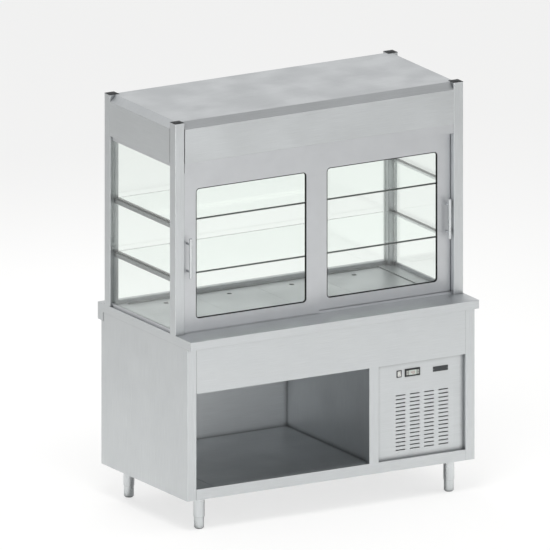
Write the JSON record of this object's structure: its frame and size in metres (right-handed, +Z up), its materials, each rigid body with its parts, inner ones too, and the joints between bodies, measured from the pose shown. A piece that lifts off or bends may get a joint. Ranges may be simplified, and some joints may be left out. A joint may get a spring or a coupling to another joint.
{
  "type": "refrigerated display counter",
  "caption": "Free-standing refrigerated display counter: glazed case with sliding doors over a cold well, open compartment, louvred machine bay and adjustable feet.",
  "frame": {"origin": "on the floor, under the middle of the worktop", "axes": "+Z up, +X to the operator's right, -Y towards the operator who opens the sliding doors, +Y towards the customer"},
  "size_m": [1.5, 0.84, 1.891],
  "materials": {
    "stainless": "satin brushed",
    "galvanised": "zinc coated",
    "aluminium": "satin anodised",
    "glass": "clear toughened",
    "lens": "smoked clear",
    "black_plastic": "fine grain",
    "light_plastic": "gloss",
    "diffuser": "opal",
    "gasket": "matt",
    "foam": "polyurethane foam",
    "painted": "black enamel",
    "copper": "drawn copper"
  },
  "bodies": {
    "counter": {"worktop": "stainless", "base_floor": "stainless", "side_panels": "stainless", "corner_stiles": "stainless", "upper_front_panel": "stainless", "customer_panel": "stainless", "compartment_back": "stainless", "compartment_liner": "stainless", "partition": "stainless", "compartment_ceiling": "galvanised", "louvred_panel": "stainless", "switch_bezel": "black_plastic", "controller_case": "black_plastic", "controller_lens": "lens", "leg_tubes": "stainless", "cold_well": "stainless", "well_insulation": "foam", "deck_plates": "stainless", "well_drain": "light_plastic", "case_posts": "stainless", "post_caps": "black_plastic", "front_fascia": "stainless", "side_and_customer_fascias": "stainless", "roof_panel": "stainless", "ceiling_tray": "stainless", "top_rail": "aluminium", "bottom_track": "aluminium", "side_glass": "glass", "customer_glass": "glass", "glazing_channels": "aluminium", "shelf_rails": "stainless", "glass_shelves": "glass", "ceiling_light": "diffuser", "condensing_unit_base": "galvanised", "condenser": "aluminium", "fan_shroud": "galvanised", "compressor": "painted", "condensate_tray": "galvanised", "electrical_box": "black_plastic", "evaporator": "aluminium", "evaporator_fan_frames": "black_plastic", "refrigerant_pipes": "copper"},
    "left_door": {"left_door_frame": "aluminium", "left_door_pane": "glass", "left_door_gasket": "gasket", "left_door_handle": "stainless"},
    "right_door": {"right_door_frame": "aluminium", "right_door_pane": "glass", "right_door_gasket": "gasket", "right_door_handle": "stainless"},
    "rocker": {"switch_rocker": "light_plastic"},
    "key_left": {"controller_key_left": "light_plastic"},
    "key_right": {"controller_key_right": "light_plastic"},
    "condenser_rotor": {"condenser_fan": "aluminium"},
    "evaporator_rotor_left": {"evaporator_fan_left": "black_plastic"},
    "evaporator_rotor_right": {"evaporator_fan_right": "black_plastic"},
    "front_left_foot": {"foot_front_left": "stainless"},
    "front_right_foot": {"foot_front_right": "stainless"},
    "rear_left_foot": {"foot_rear_left": "stainless"},
    "rear_right_foot": {"foot_rear_right": "stainless"}
  },
  "joints": [
    {"name": "left_door_slide", "type": "slide", "parent": "counter", "child": "left_door", "axis": [1, 0, 0], "range_m": [0, 0.65]},
    {"name": "right_door_slide", "type": "slide", "parent": "counter", "child": "right_door", "axis": [1, 0, 0], "range_m": [-0.65, 0]},
    {"name": "switch_rock", "type": "hinge", "parent": "counter", "child": "rocker", "pos_m": [0.366, -0.362, 0.593], "axis": [1, 0, 0], "range_deg": [0, 16]},
    {"name": "left_key_press", "type": "slide", "parent": "counter", "child": "key_left", "axis": [0, 1, 0], "range_m": [0, 0.0008], "stiffness_N_per_m": 1500, "springref_m": -0.0002},
    {"name": "right_key_press", "type": "slide", "parent": "counter", "child": "key_right", "axis": [0, 1, 0], "range_m": [0, 0.0008], "stiffness_N_per_m": 1500, "springref_m": -0.0002},
    {"name": "condenser_fan_spin", "type": "hinge", "parent": "counter", "child": "condenser_rotor", "pos_m": [0.47, -0.254, 0.362], "axis": [0, 1, 0], "continuous": true},
    {"name": "evaporator_fan_left_spin", "type": "hinge", "parent": "counter", "child": "evaporator_rotor_left", "pos_m": [-0.28, 0.251, 1.7234], "axis": [0, 0, 1], "continuous": true},
    {"name": "evaporator_fan_right_spin", "type": "hinge", "parent": "counter", "child": "evaporator_rotor_right", "pos_m": [0.28, 0.251, 1.7234], "axis": [0, 0, 1], "continuous": true},
    {"name": "front_left_foot_level", "type": "slide", "parent": "counter", "child": "front_left_foot", "axis": [0, 0, 1], "range_m": [-0.025, 0.025]},
    {"name": "front_right_foot_level", "type": "slide", "parent": "counter", "child": "front_right_foot", "axis": [0, 0, 1], "range_m": [-0.025, 0.025]},
    {"name": "rear_left_foot_level", "type": "slide", "parent": "counter", "child": "rear_left_foot", "axis": [0, 0, 1], "range_m": [-0.025, 0.025]},
    {"name": "rear_right_foot_level", "type": "slide", "parent": "counter", "child": "rear_right_foot", "axis": [0, 0, 1], "range_m": [-0.025, 0.025]}
  ]
}
